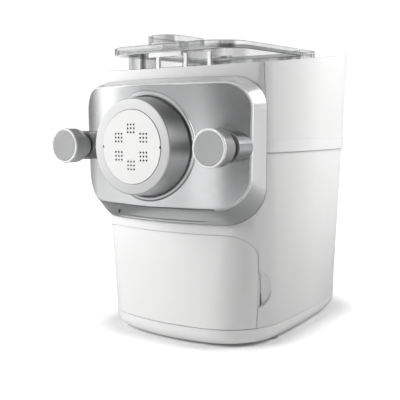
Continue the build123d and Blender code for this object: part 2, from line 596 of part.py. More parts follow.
# ---------------------------------------------------------------- clamp knobs
for s, name in ((-1, "left"), (1, "right")):
    x = s * KNOB_X
    y = FRONT_Y
    head = lathe_y([
        (14.3, y), (15.5, y), (16.1, y + 0.25), (KNOB_R, y + 0.9), (KNOB_R, y + 1.9), (KNOB_R - 0.35, y + 2.3),
        (KNOB_R - 0.35, y + 13.4), (KNOB_R - 0.7, y + 15.0), (KNOB_R - 1.7, y + 16.5), (KNOB_R - 3.1, y + 17.3),
        (KNOB_R - 4.4, y + KNOB_HEAD), (KNOB_NECK_R, y + KNOB_HEAD + 0.2),
        (KNOB_NECK_R, 24.2), (KNOB_NECK_R - 0.6, 24.9), (0, 24.9), (0, y + 1.5), (14.3, y + 1.5),
    ], x, 0)
    for a in (55, 125, 235, 305):  # four finger flats
        head = head - Pos(x, 0, 0) * (Rot(0, a, 0) * block(14.55, 22, y + 3.4, y + 14.2, -12, 12))
    head = head - rod_y(STUD_R + 0.08, 18.0, 60, x)
    put(f"{name}_knob", head)
    put(f"{name}_knob_cap", rod_y(14.2, y + 0.1, y + 1.45, x))

# ---------------------------------------------------------------- side bands
band = body(-0.9) - body(-0.05)
put("side_bands", *[band & block(*sorted((s * 66, s * 130)), 70.5, 262, -6.0, 6.0) for s in (-1, 1)])

# ---------------------------------------------------------------- lid
lid = plan_prism(LID_W, LID_Y0, LID_Y1, LID_Z0, LID_Z1, LID_CF, 6)
lid = try_fillet(lid, lid.faces().sort_by(Axis.Z)[-1].edges(), 1.2)
lid = lid - plan_prism(LID_W - 2.4, LID_Y0 + 2.4, LID_Y1 - 2.4, LID_Z0 - 5, LID_Z1 - 3.0, LID_CF - 2.4, 4)
ix0, ix1, iy0, iy1, iz1 = INLET
INLET_HOLE = Pos((ix0 + ix1) / 2, 88.8, 80) * extrude(RectangleRounded(25, 41, 6), 40)
lid = lid - INLET_HOLE
lid = lid_tilt(lid)
for s in (-1, 1):
    x0, x1 = sorted((s * 41, s * 49))
    arm_ = block(x0, x1, LID_Y1 - 2, HINGE_Y, HINGE_Z - 2.4, HINGE_Z + 0.4) + rod_x(3.6, x0, x1, HINGE_Y, HINGE_Z)
    lid = lid + (arm_ - rod_x(2.05, x0 - 1, x1 + 1, HINGE_Y, HINGE_Z))
put("lid", lid)
cup_ = Pos((ix0 + ix1) / 2, (iy0 + iy1) / 2, LID_Z1 + 0.05) * extrude(
    RectangleRounded(ix1 - ix0, iy1 - iy0, INLET_CR), iz1 - LID_Z1 - 0.05
)
cup_ = try_fillet(cup_, cup_.faces().sort_by(Axis.Z)[-1].edges(), 1.4)
cup_ = cup_ - (Pos((ix0 + ix1) / 2, (iy0 + iy1) / 2, LID_Z1 + 2.0) * extrude(
    RectangleRounded(ix1 - ix0 - 4.8, iy1 - iy0 - 4.8, INLET_CR - 2.4), 30
))
cup_ = cup_ - INLET_HOLE
put("lid_inlet", lid_tilt(cup_))
seal = plan_prism(CH_W + 1.0, CH_Y0 - 1.6, CH_Y1 + 1.0, 0, 2.6, 25, 12) - plan_prism(
    CH_W - 4.4, CH_Y0 + 4.4, CH_Y1 - 4.6, -5, 20, 20, 8
)
put("lid_seal", lid_tilt(Pos(0, 0, LID_Z1 - 3.05 - 2.6) * seal))
ears = None
for s in (-1, 1):
    for x0 in (36.6, 49.4):
        x0, x1 = sorted((s * x0, s * (x0 + 4)))
        e = block(x0, x1, HINGE_Y - 3.6, HINGE_Y + 3.6, 84, HINGE_Z) + rod_x(3.6, x0, x1, HINGE_Y, HINGE_Z)
        ears = e if ears is None else ears + e
ears = ears - below_top(DECK_DROP - 0.05)
for s in (-1, 1):
    x0, x1 = sorted((s * 30, s * 60))
    ears = ears - rod_x(2.05, x0, x1, HINGE_Y, HINGE_Z)
put("lid_hinge_ears", ears)
put("hinge_pins", *[rod_x(2.0, *sorted((s * 36.8, s * 53.2)), HINGE_Y, HINGE_Z) for s in (-1, 1)])

# ---------------------------------------------------------------- storage drawer
front = (body(0.0) - body(WALL)) & drawer_outline(0.0)
front = front & block(-120, 120, -20, 84.0, BASE_SEAM_Z + 0.25, 0)
put("drawer_front", front)
tray_in = body(WALL + 0.15) & block(-TRAY_W, TRAY_W, -20, TRAY_Y1, -163.0, TRAY_TOP)
tray_hollow = body(WALL + 2.6) & block(-TRAY_W + 2.2, TRAY_W - 2.2, -20, TRAY_Y1 - 2.2, -160.6, 0)
put("drawer_tray", tray_in - tray_hollow)
rails = []
for s in (-1, 1):
    a0, a1 = sorted((s * 76.4, s * 80.0))
    b0, b1 = sorted((s * 76.4, s * 78.4))
    rails.append(block(a0, a1, 96, 192, -166.5, -163.4) + block(b0, b1, 96, 192, -163.5, -140))
put("drawer_rails", *rails)

# ---------------------------------------------------------------- power parts
sock = block(-61.6, -30.4, 262, 284.2, -155.6, -132.4) - block(-58.6, -33.4, 268, 300, -152.6, -135.4)
for dx in (-5, 5):
    sock = sock + rod_y(1.6, 267, 281, -46 + dx, -144)
put("power_inlet", sock)
put("power_board", block(-66.0, -64.4, 206, 262, -158, -96))
put(
    "board_components",
    block(-64.3, -52, 212, 230, -150, -128),
    block(-64.3, -56, 236, 246, -150, -136),
    rod_x(7.0, -64.3, -44, 240, -118),
    rod_x(5.0, -64.3, -50, 218, -110),
)


# ---------------------------------------------------------------- fasteners
def pan_screw(length, r=1.5, head=3.1):
    """Pan head screw: flat side of the head at the origin, shank along +Z."""
    s = Pos(0, 0, -1.1) * Cylinder(head, 2.2) + Pos(0, 0, length / 2 - 0.05) * Cylinder(r, length + 0.1)
    return s - Pos(0, 0, -2.2) * Box(4.4, 0.8, 1.6) - Pos(0, 0, -2.2) * Box(0.8, 4.4, 1.6)


put("gearbox_screws", *[Pos(x, 230.95, z) * (Rot(90, 0, 0) * pan_screw(13, 1.45)) for x, z in GEARBOX_LUGS])
put("base_screws", *[Pos(x, y, FLOOR_Z + 3.9) * pan_screw(14, 1.45, 3.1) for x, y in POSTS])
put("flange_screws", *[Pos(x, 40.65, z) * (Rot(90, 0, 0) * pan_screw(5.2, 1.45, 2.8)) for x, z in FLANGE_SCREWS])

lo = [min(p.bounding_box().min.to_tuple()[i] for p in PARTS.values()) for i in range(3)]
hi = [max(p.bounding_box().max.to_tuple()[i] for p in PARTS.values()) for i in range(3)]
print("box", [round(v, 3) for v in lo], [round(v, 3) for v in hi], "nodes", len(PARTS))
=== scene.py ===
import math

import bmesh
import bpy
from mathutils import Matrix, Vector


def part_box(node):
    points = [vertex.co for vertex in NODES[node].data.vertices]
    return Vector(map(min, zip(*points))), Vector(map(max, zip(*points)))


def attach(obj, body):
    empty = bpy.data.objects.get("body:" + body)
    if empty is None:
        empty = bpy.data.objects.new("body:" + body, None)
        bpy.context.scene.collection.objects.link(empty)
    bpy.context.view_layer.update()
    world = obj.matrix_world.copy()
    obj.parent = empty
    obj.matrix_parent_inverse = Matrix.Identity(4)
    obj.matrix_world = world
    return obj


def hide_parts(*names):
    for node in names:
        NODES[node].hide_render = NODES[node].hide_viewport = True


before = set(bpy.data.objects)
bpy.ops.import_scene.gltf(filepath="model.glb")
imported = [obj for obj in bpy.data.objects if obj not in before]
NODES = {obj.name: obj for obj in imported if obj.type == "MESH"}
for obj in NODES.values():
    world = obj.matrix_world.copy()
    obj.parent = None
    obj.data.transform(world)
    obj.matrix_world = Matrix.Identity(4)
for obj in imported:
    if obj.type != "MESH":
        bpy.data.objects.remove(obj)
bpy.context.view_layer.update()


# The CAD was laid out from the nut's front centre; this turns such millimetres into the row frame.
def R(x, y, z):
    return Vector((x / 1000, (y - 145.075) / 1000, (z + 185) / 1000))


# ------------------------------------------------------------------ materials
def _new(name):
    m = bpy.data.materials.new(name)
    m.use_nodes = True
    nt = m.node_tree
    nt.nodes.clear()
    out = nt.nodes.new("ShaderNodeOutputMaterial")
    sh = nt.nodes.new("ShaderNodeBsdfPrincipled")
    nt.links.new(sh.outputs["BSDF"], out.inputs["Surface"])
    co = nt.nodes.new("ShaderNodeTexCoord")
    return m, nt, sh, co.outputs["Object"]


def _noise(nt, vec, scale, detail=2.0, rough=0.5, stretch=None, distortion=0.0):
    if stretch is not None:
        mp = nt.nodes.new("ShaderNodeMapping")
        mp.inputs["Scale"].default_value = stretch
        nt.links.new(vec, mp.inputs["Vector"])
        vec = mp.outputs["Vector"]
    n = nt.nodes.new("ShaderNodeTexNoise")
    n.inputs["Scale"].default_value = scale
    n.inputs["Detail"].default_value = detail
    n.inputs["Roughness"].default_value = rough
    n.inputs["Distortion"].default_value = distortion
    nt.links.new(vec, n.inputs["Vector"])
    return n.outputs["Fac"]


def _range(nt, fac, lo, hi, a=0.3, b=0.7):
    r = nt.nodes.new("ShaderNodeMapRange")
    r.inputs["From Min"].default_value = a
    r.inputs["From Max"].default_value = b
    r.inputs["To Min"].default_value = lo
    r.inputs["To Max"].default_value = hi
    nt.links.new(fac, r.inputs["Value"])
    return r.outputs["Result"]


def _mix(nt, fac, a, b):
    m = nt.nodes.new("ShaderNodeMix")
    m.data_type = "RGBA"
    nt.links.new(fac, m.inputs["Factor"])
    for socket, v in ((m.inputs[6], a), (m.inputs[7], b)):
        if hasattr(v, "is_linked"):
            nt.links.new(v, socket)
        else:
            socket.default_value = (*v[:3], 1)
    return m.outputs[2]


def _bump(nt, sh, height, strength, distance, chain=None):
    b = nt.nodes.new("ShaderNodeBump")
    b.inputs["Strength"].default_value = strength
    b.inputs["Distance"].default_value = distance
    nt.links.new(height, b.inputs["Height"])
    if chain is not None:
        nt.links.new(chain, b.inputs["Normal"])
    nt.links.new(b.outputs["Normal"], sh.inputs["Normal"])
    return b.outputs["Normal"]


def _tint(c, f):
    return tuple(min(1.0, v * f) for v in c)


def surface(
    name,
    col,
    rough,
    metal=0.0,
    coat=0.0,
    coat_rough=0.1,
    var=0.015,
    var_scale=22.0,
    rvar=0.03,
    grain=5200.0,
    grain_bump=0.06,
    grain_mm=0.012,
    wave=0.0,
    spec=0.5,
    ior=1.46,
    stretch=None,
    aniso=0.0,
    sheen=0.0,
    recess_shade=None,
    right_face_shade=None,
    foot=None,
    glow=0.0,
    corner=None,
    right_wall_shade=None,
    left_edge_shade=None,
):
    """A moulded or metallised finish: slow tone drift, fine moulding grain in bump and gloss."""
    m, nt, sh, vec = _new(name)
    drift = _noise(nt, vec, var_scale, 3.0, 0.55)
    fine = _noise(nt, vec, grain, 2.0, 0.6, stretch)
    colour = _mix(
        nt, _range(nt, drift, 0, 1), _tint(col, 1 - var), _tint(col, 1 + var)
    )
    colour = _mix(
        nt, _range(nt, fine, 0.0, 0.35), colour, _tint(col, 1 - 3 * var)
    )
    if recess_shade:
        # painted shade: the bores and the seam round the edge, back from the face, are painted dark grey
        pos = nt.nodes.new("ShaderNodeSeparateXYZ")
        nt.links.new(vec, pos.inputs["Vector"])
        into = _range(nt, pos.outputs["Y"], 0.0, 1.0, recess_shade[0], recess_shade[0] + 0.0006)
        back = _range(nt, pos.outputs["Y"], 1.0, 0.0, recess_shade[1] - 0.0003, recess_shade[1])
        both = nt.nodes.new("ShaderNodeMath")
        both.operation = "MULTIPLY"
        nt.links.new(into, both.inputs[0])
        nt.links.new(back, both.inputs[1])
        colour = _mix(nt, both.outputs["Value"], colour, (0.1, 0.1, 0.1))
    # painted shade: faces turned to the right take a darker colour
    if right_face_shade:
        nrm = nt.nodes.new("ShaderNodeSeparateXYZ")
        nt.links.new(nt.nodes["Texture Coordinate"].outputs["Normal"], nrm.inputs["Vector"])
        colour = _mix(nt, _range(nt, nrm.outputs["X"], 0.0, 1.0, 0.92, 0.99), colour, right_face_shade)
    if right_wall_shade:
        # painted shade: the right wall is painted a little greyer towards the front
        nrm = nt.nodes.new("ShaderNodeSeparateXYZ")
        nt.links.new(nt.nodes["Texture Coordinate"].outputs["Normal"], nrm.inputs["Vector"])
        pos = nt.nodes.new("ShaderNodeSeparateXYZ")
        nt.links.new(vec, pos.inputs["Vector"])
        both = nt.nodes.new("ShaderNodeMath")
        both.operation = "MULTIPLY"
        nt.links.new(_range(nt, nrm.outputs["X"], 0.0, 1.0, 0.8, 0.97), both.inputs[0])
        nt.links.new(_range(nt, pos.outputs["Y"], 1.0, 0.0, right_wall_shade[0], right_wall_shade[1]), both.inputs[1])
        colour = _mix(nt, both.outputs["Value"], colour, right_wall_shade[2])
    if left_edge_shade:
        # painted shade: darker towards the left edge
        pos = nt.nodes.new("ShaderNodeSeparateXYZ")
        nt.links.new(vec, pos.inputs["Vector"])
        colour = _mix(nt, _range(nt, pos.outputs["X"], 1.0, 0.0, left_edge_shade[0], left_edge_shade[1]), colour, left_edge_shade[2])
    if corner:
        # painted light and shade: the colour turns to another tone towards one side, lighter for a painted highlight,
        # darker for painted shade
        along = nt.nodes.new("ShaderNodeVectorMath")
        along.operation = "DOT_PRODUCT"
        nt.links.new(vec, along.inputs[0])
        along.inputs[1].default_value = corner[0]
        colour = _mix(nt, _range(nt, along.outputs["Value"], 0.0, 1.0, corner[1], corner[2]), colour, corner[3])
    if foot:
        # painted shade: below a height the colour is painted darker
        pos = nt.nodes.new("ShaderNodeSeparateXYZ")
        nt.links.new(vec, pos.inputs["Vector"])
        colour = _mix(nt, _range(nt, pos.outputs["Z"], 1.0, 0.0, foot[0], foot[1]), colour, foot[2])
    # painted light: a white glow on a part that is no lamp
    if glow:
        sh.inputs["Emission Color"].default_value = (1, 1, 1, 1)
        sh.inputs["Emission Strength"].default_value = glow
    nt.links.new(colour, sh.inputs["Base Color"])
    smear = _noise(nt, vec, var_scale * 3.1, 2.0, 0.5)
    nt.links.new(_range(nt, smear, rough - rvar, rough + rvar), sh.inputs["Roughness"])
    sh.inputs["Metallic"].default_value = metal
    sh.inputs["Coat Weight"].default_value = coat
    sh.inputs["Coat Roughness"].default_value = coat_rough
    sh.inputs["Specular IOR Level"].default_value = spec
    sh.inputs["IOR"].default_value = ior
    sh.inputs["Anisotropic"].default_value = aniso
    sh.inputs["Sheen Weight"].default_value = sheen
    chain = None
    if wave:
        chain = _bump(nt, sh, drift, 0.25, wave / 1000)
    _bump(nt, sh, fine, grain_bump, grain_mm / 1000, chain)
    m.diffuse_color = (*col, 1)
    return m


def spun(name, col, rough, centre, axis="Y", metal=1.0, rings=900.0, strength=0.05, rvar=0.05, face=None):
    """Metal turned or spun about an axis: very fine rings round the centre."""
    m, nt, sh, vec = _new(name)
    mp = nt.nodes.new("ShaderNodeMapping")
    mp.inputs["Location"].default_value = [-c for c in centre]
    nt.links.new(vec, mp.inputs["Vector"])
    sep = nt.nodes.new("ShaderNodeSeparateXYZ")
    nt.links.new(mp.outputs["Vector"], sep.inputs["Vector"])
    a, b = {"Y": ("X", "Z"), "Z": ("X", "Y"), "X": ("Y", "Z")}[axis]
    comb = nt.nodes.new("ShaderNodeCombineXYZ")
    nt.links.new(sep.outputs[a], comb.inputs["X"])
    nt.links.new(sep.outputs[b], comb.inputs["Y"])
    length = nt.nodes.new("ShaderNodeVectorMath")
    length.operation = "LENGTH"
    nt.links.new(comb.outputs["Vector"], length.inputs[0])
    ang = nt.nodes.new("ShaderNodeMath")
    ang.operation = "ARCTAN2"
    nt.links.new(sep.outputs[a], ang.inputs[0])
    nt.links.new(sep.outputs[b], ang.inputs[1])
    polar = nt.nodes.new("ShaderNodeCombineXYZ")
    nt.links.new(length.outputs["Value"], polar.inputs["X"])
    nt.links.new(ang.outputs["Value"], polar.inputs["Y"])
    fine = _noise(nt, polar.outputs["Vector"], 1.0, 3.0, 0.65, (rings * 4, 0.9, 1))
    broad = _noise(nt, polar.outputs["Vector"], 1.0, 2.0, 0.5, (rings / 6, 0.5, 1))
    colour = _mix(nt, _range(nt, fine, 0, 1), _tint(col, 0.94), _tint(col, 1.04))
    sh.inputs["Metallic"].default_value = metal
    if face:
        # the front ring is paler and less mirror-like than the turned side
        geo = nt.nodes.new("ShaderNodeTexCoord")
        nrm = nt.nodes.new("ShaderNodeSeparateXYZ")
        nt.links.new(geo.outputs["Normal"], nrm.inputs["Vector"])
        front = _range(nt, nrm.outputs["Y"], 1.0, 0.0, -0.95, -0.75)
        # painted shade: the turned side darkens towards the upper right
        side_shade_dir = nt.nodes.new("ShaderNodeVectorMath")
        side_shade_dir.operation = "DOT_PRODUCT"
        nt.links.new(mp.outputs["Vector"], side_shade_dir.inputs[0])
        side_shade_dir.inputs[1].default_value = (0.83, 0.0, 0.55)
        colour = _mix(nt, _range(nt, side_shade_dir.outputs["Value"], 0.0, 1.0, 0.03, 0.043), colour, _tint(col, 0.4))
        ringed = _mix(nt, _range(nt, fine, 0, 1), _tint(face, 0.96), _tint(face, 1.02))
        # painted shade: the front ring darkens towards the lower right
        face_shade_dir = nt.nodes.new("ShaderNodeVectorMath")
        face_shade_dir.operation = "DOT_PRODUCT"
        nt.links.new(mp.outputs["Vector"], face_shade_dir.inputs[0])
        face_shade_dir.inputs[1].default_value = (0.6, 0.0, -0.8)
        ringed = _mix(nt, _range(nt, face_shade_dir.outputs["Value"], 0.0, 1.0, -0.03, 0.036), ringed, _tint(face, 0.74))
        colour = _mix(nt, front, colour, ringed)
        nt.links.new(_range(nt, front, metal, 0.45, 0.0, 1.0), sh.inputs["Metallic"])
    nt.links.new(colour, sh.inputs["Base Color"])
    nt.links.new(_range(nt, broad, rough - rvar, rough + rvar), sh.inputs["Roughness"])
    grit = _noise(nt, vec, 7000.0, 2.0, 0.6)
    chain = _bump(nt, sh, grit, 0.05, 0.00001)
    _bump(nt, sh, fine, strength, 0.00002, chain)
    m.diffuse_color = (*col, 1)
    return m


def _ramp(nt, fac, stops):
    """Number along a line of (place, value) stops; place runs from -1 to 1."""
    r = nt.nodes.new("ShaderNodeValToRGB")
    el = r.color_ramp.elements
    for i, (at, v) in enumerate(stops):
        at = (at + 1) / 2
        e = el[i] if i < 2 else el.new(at)
        e.position = at
        e.color = (v, v, v, 1)
    nt.links.new(_range(nt, fac, 0.0, 1.0, -1.0, 1.0), r.inputs["Fac"])
    return r.outputs["Color"]


def _calc(nt, op, a, b):
    m = nt.nodes.new("ShaderNodeMath")
    m.operation = op
    for socket, v in ((m.inputs[0], a), (m.inputs[1], b)):
        if hasattr(v, "is_linked"):
            nt.links.new(v, socket)
        else:
            socket.default_value = v
    return m.outputs["Value"]


def clear(name, wall, flat=0.12, edge=0.6, rough=0.06, ior=1.46, front=None):
    """Clear polished plastic, with painted shade and reflection in its greyness. wall gives its greyness along the way
    an upright wall faces (-1 left, 0 front, 1 right), flat that of level faces, edge that of the rounded edges
    between them. front gives painted dark and light bands across the front wall, in metres."""
    m, nt, sh, vec = _new(name)
    flow = _noise(nt, vec, 16.0, 3.0, 0.55)
    smear = _noise(nt, vec, 60.0, 3.0, 0.6)
    nt.links.new(_range(nt, smear, rough * 0.4, rough * 1.7), sh.inputs["Roughness"])
    sh.inputs["IOR"].default_value = ior
    _bump(nt, sh, flow, 0.12, 0.0004)
    co = nt.nodes.new("ShaderNodeTexCoord")
    nrm = nt.nodes.new("ShaderNodeSeparateXYZ")
    nt.links.new(co.outputs["Normal"], nrm.inputs["Vector"])
    # painted shade: how grey and how clear a wall is depends on which way it faces
    side = _ramp(nt, nrm.outputs["X"], wall)
    if front:
        pos = nt.nodes.new("ShaderNodeSeparateXYZ")
        nt.links.new(vec, pos.inputs["Vector"])
        lines = _ramp(nt, _calc(nt, "MULTIPLY", pos.outputs["X"], 12.5), [(x * 12.5, v) for x, v in front])
        is_front = _range(nt, nrm.outputs["Y"], 1.0, 0.0, -0.99, -0.9)
        side = _calc(nt, "ADD", _calc(nt, "MULTIPLY", lines, is_front), _calc(nt, "MULTIPLY", side, _calc(nt, "SUBTRACT", 1.0, is_front)))
    up = _calc(nt, "ABSOLUTE", nrm.outputs["Z"], 0.0)
    level = _range(nt, up, 0.0, 1.0, 0.93, 0.985)
    turned = _range(nt, up, 0.0, 1.0, 0.12, 0.3)
    a = _calc(nt, "ADD", _calc(nt, "MULTIPLY", turned, edge), _calc(nt, "MULTIPLY", _calc(nt, "SUBTRACT", 1.0, turned), side))
    a = _calc(nt, "ADD", _calc(nt, "MULTIPLY", level, flat), _calc(nt, "MULTIPLY", _calc(nt, "SUBTRACT", 1.0, level), a))
    streak = _noise(nt, vec, 90.0, 3.0, 0.6, (1, 1, 0.15))
    a = _calc(nt, "MULTIPLY", a, _range(nt, streak, 0.72, 1.2))
    nt.links.new(a, sh.inputs["Alpha"])
    dark = _range(nt, a, 0.0, 1.0, 0.25, 0.8)
    colour = _mix(nt, dark, (0.36, 0.37, 0.37), (0.03, 0.032, 0.032))
    nt.links.new(colour, sh.inputs["Base Color"])
    m.diffuse_color = (0.4, 0.42, 0.42, 0.3)
    return m


def board(name):
    """Glass fibre board: green mask with lighter tracks and the weave showing faintly."""
    m, nt, sh, vec = _new(name)
    br = nt.nodes.new("ShaderNodeTexBrick")
    br.inputs["Scale"].default_value = 240.0
    br.inputs["Mortar Size"].default_value = 0.03
    br.inputs["Color1"].default_value = (0.045, 0.19, 0.085, 1)
    br.inputs["Color2"].default_value = (0.05, 0.21, 0.095, 1)
    br.inputs["Mortar"].default_value = (0.09, 0.3, 0.14, 1)
    nt.links.new(vec, br.inputs["Vector"])
    nt.links.new(br.outputs["Color"], sh.inputs["Base Color"])
    weave = _noise(nt, vec, 2600.0, 1.0, 0.4)
    nt.links.new(_range(nt, weave, 0.25, 0.42), sh.inputs["Roughness"])
    _bump(nt, sh, br.outputs["Fac"], 0.25, 0.00005)
    m.diffuse_color = (0.05, 0.2, 0.09, 1)
    return m


def windings(name, centre):
    """Laminated, zinc plated motor steel: fine stacked lines along the motor's axis."""
    m, nt, sh, vec = _new(name)
    wv = nt.nodes.new("ShaderNodeTexWave")
    wv.wave_type = "BANDS"
    wv.bands_direction = "Y"
    wv.inputs["Scale"].default_value = 320.0
    wv.inputs["Distortion"].default_value = 0.4
    nt.links.new(vec, wv.inputs["Vector"])
    nt.links.new(
        _mix(nt, wv.outputs["Fac"], (0.3, 0.31, 0.32), (0.48, 0.49, 0.5)),
        sh.inputs["Base Color"],
    )
    spots = _noise(nt, vec, 300.0, 3.0, 0.6)
    nt.links.new(_range(nt, spots, 0.3, 0.5), sh.inputs["Roughness"])
    sh.inputs["Metallic"].default_value = 0.9
    _bump(nt, sh, wv.outputs["Fac"], 0.3, 0.00008)
    m.diffuse_color = (0.45, 0.46, 0.47, 1)
    return m


NUT_C = R(0, 0, 0)
M = {
    # painted shade on the shell's right wall towards the front
    "shell": surface("white_shell_satin", (0.86, 0.86, 0.855), 0.34, coat=0.12, coat_rough=0.18, var=0.006, wave=0.05, grain=3600, grain_bump=0.05, right_wall_shade=(-0.11, 0.03, (0.64, 0.64, 0.637))),
    "fascia": surface("white_fascia_satin", (0.865, 0.865, 0.86), 0.34, coat=0.12, coat_rough=0.18, var=0.006, grain=3600, grain_bump=0.05),
    # painted shade on the drawer's right-facing edge
    "drawer": surface("white_drawer_satin", (0.87, 0.87, 0.865), 0.33, coat=0.12, coat_rough=0.18, var=0.006, grain=3600, grain_bump=0.05, right_face_shade=(0.55, 0.55, 0.55)),
    "base": surface("white_base_satin", (0.86, 0.86, 0.855), 0.36, coat=0.1, coat_rough=0.2, var=0.006, grain=3600, grain_bump=0.05),
    # painted shade along the band's lower edge and on its right wall towards the front
    "band": surface("white_band_gloss", (0.88, 0.88, 0.88), 0.16, coat=0.5, coat_rough=0.05, var=0.006, grain=5200, grain_bump=0.02, foot=(0.1792, 0.1802, (0.16, 0.16, 0.16)), right_wall_shade=(-0.11, 0.03, (0.66, 0.66, 0.66))),
    "deck": surface("white_deck_texture", (0.80, 0.80, 0.80), 0.48, var=0.012, grain=2200, grain_bump=0.16, grain_mm=0.02),
    "white_inner": surface("white_inner_matt", (0.76, 0.76, 0.755), 0.55, var=0.015, grain=1800, grain_bump=0.12, grain_mm=0.02),
    # painted shade in the die's bores and round its edge
    "die": surface("white_die_smooth", (0.89, 0.89, 0.88), 0.42, var=0.008, grain=4200, grain_bump=0.05, recess_shade=(-0.14525, -0.1388)),
    # painted shade on the clip's right-facing sides, and painted light: the clip glows a little
    "clip": surface("white_clip_gloss", (0.93, 0.93, 0.93), 0.3, var=0.006, grain=4200, grain_bump=0.04, right_face_shade=(0.12, 0.12, 0.12), glow=0.22),
    "clear_lid": clear("clear_lid_plastic", [(-1, 0.3), (-0.9, 0.9), (-0.55, 0.85), (-0.42, 0.3), (-0.1, 0.32), (0.3, 0.28), (0.5, 0.36), (0.6, 0.72), (0.84, 0.66), (0.9, 0.1), (0.97, 0.12), (1, 0.3)], 0.1, 0.62),
    "clear_inlet": clear("clear_inlet_plastic", [(-1, 0.12), (-0.86, 0.25), (-0.75, 0.72), (-0.38, 0.7), (-0.22, 0.14), (0.3, 0.3), (0.88, 0.5), (0.9, 0.12), (1, 0.16)], 0.08, 0.5),
    "clear_chamber": clear("clear_chamber_plastic", [(-1, 0.3), (-0.5, 0.45), (-0.1, 0.3), (0.1, 0.1), (0.5, 0.18), (0.9, 0.35), (1, 0.06)], 0.1, 0.35,
        front=[(-0.0575, 0.75), (-0.055, 0.55), (-0.045, 0.12), (-0.0425, 0.1), (-0.0412, 0.85), (-0.0375, 0.8), (-0.0362, 0.3), (-0.022, 0.42), (-0.019, 0.1), (0.004, 0.05), (0.0085, 0.12), (0.0095, 0.6), (0.0115, 0.3), (0.0165, 0.42), (0.030, 0.28), (0.037, 0.18), (0.0425, 0.55), (0.05, 0.3), (0.054, 0.15), (0.08, 0.1)]),
    # painted highlight towards the panel's upper right and painted shade along its left edge
    "panel": surface("silver_panel_satin", (0.64, 0.65, 0.655), 0.24, metal=0.9, var=0.012, var_scale=30, rvar=0.015, grain=8000, grain_bump=0.05, grain_mm=0.008, corner=((0.62, 0.0, 0.78), 0.229, 0.238, (0.84, 0.845, 0.85)), left_edge_shade=(-0.0885, -0.074, (0.32, 0.325, 0.33))),
    "nut": spun("silver_nut_spun", (0.66, 0.665, 0.67), 0.42, NUT_C, metal=0.9, face=(0.88, 0.885, 0.885)),
    # painted highlight on the collar's upper right
    "collar": surface("satin_collar", (0.50, 0.505, 0.51), 0.24, metal=0.95, var=0.01, grain=7000, grain_bump=0.03, grain_mm=0.008, corner=((0.62, 0.0, 0.78), 0.155, 0.19, (0.95, 0.955, 0.96))),
    "boss": surface("brushed_boss", (0.40, 0.405, 0.41), 0.24, metal=1.0, var=0.04, grain=900, grain_bump=0.12, grain_mm=0.012, stretch=(1, 9, 1)),
    # painted shade: the right knob is painted darker than the left
    "knob": surface("knob_pearl_grey", (0.62, 0.623, 0.62), 0.4, metal=0.3, var=0.03, var_scale=160, grain=3400, grain_bump=0.16, grain_mm=0.02, corner=((1.0, 0.0, 0.0), -0.05, 0.05, (0.36, 0.363, 0.36))),
    "knob_rim": surface("knob_rim_bright", (0.95, 0.95, 0.95), 0.2, metal=0.35, coat=0.3, coat_rough=0.08, var=0.006, grain=6000, grain_bump=0.02),
    "knob_cap": surface("knob_face_grey", (0.46, 0.465, 0.47), 0.45, metal=0.35, var=0.015, grain=5200, grain_bump=0.08),
    "grey": surface("grey_moulded", (0.42, 0.43, 0.44), 0.5, var=0.03, grain=1800, grain_bump=0.15, grain_mm=0.02),
    "button": surface("grey_button_satin", (0.58, 0.585, 0.59), 0.4, var=0.015, grain=3000, grain_bump=0.08),
    "gear": surface("acetal_gear", (0.76, 0.73, 0.64), 0.42, var=0.02, grain=1500, grain_bump=0.1, grain_mm=0.02, ior=1.48),
    "auger": surface("acetal_auger", (0.84, 0.83, 0.79), 0.38, var=0.015, grain=1500, grain_bump=0.08, grain_mm=0.02),
    "dark": surface("dark_moulded", (0.045, 0.045, 0.05), 0.5, var=0.08, grain=1600, grain_bump=0.18, grain_mm=0.02),
    "window": surface("dark_window_gloss", (0.012, 0.012, 0.014), 0.07, coat=0.6, coat_rough=0.03, var=0.1, grain=5000, grain_bump=0.01),
    "steel": surface("turned_steel", (0.60, 0.61, 0.62), 0.28, metal=1.0, var=0.03, grain=3000, grain_bump=0.1, stretch=(1, 14, 1)),
    "screw": surface("screw_steel", (0.55, 0.56, 0.57), 0.3, metal=1.0, var=0.05, grain=2500, grain_bump=0.14),
    "plate": surface("zinc_plate", (0.56, 0.57, 0.58), 0.36, metal=1.0, var=0.05, var_scale=90, grain=900, grain_bump=0.1, grain_mm=0.02),
    "motor": surface("motor_zinc", (0.42, 0.43, 0.44), 0.38, metal=1.0, var=0.06, var_scale=120, grain=700, grain_bump=0.12, grain_mm=0.02),
    "stack": windings("motor_laminations", NUT_C),
    "board": board("circuit_board_green"),
    "part": surface("board_part_black", (0.03, 0.03, 0.033), 0.35, var=0.15, var_scale=260, grain=2400, grain_bump=0.1),
    "bearing": surface("sintered_bronze", (0.55, 0.4, 0.22), 0.42, metal=1.0, var=0.06, var_scale=300, grain=4500, grain_bump=0.25, grain_mm=0.02),
    "rubber": surface("rubber_matt", (0.16, 0.16, 0.165), 0.75, var=0.06, grain=1400, grain_bump=0.3, grain_mm=0.03),
    "seal": surface("silicone_seal", (0.66, 0.67, 0.67), 0.55, var=0.02, grain=1400, grain_bump=0.12, grain_mm=0.02, sheen=0.15),
}

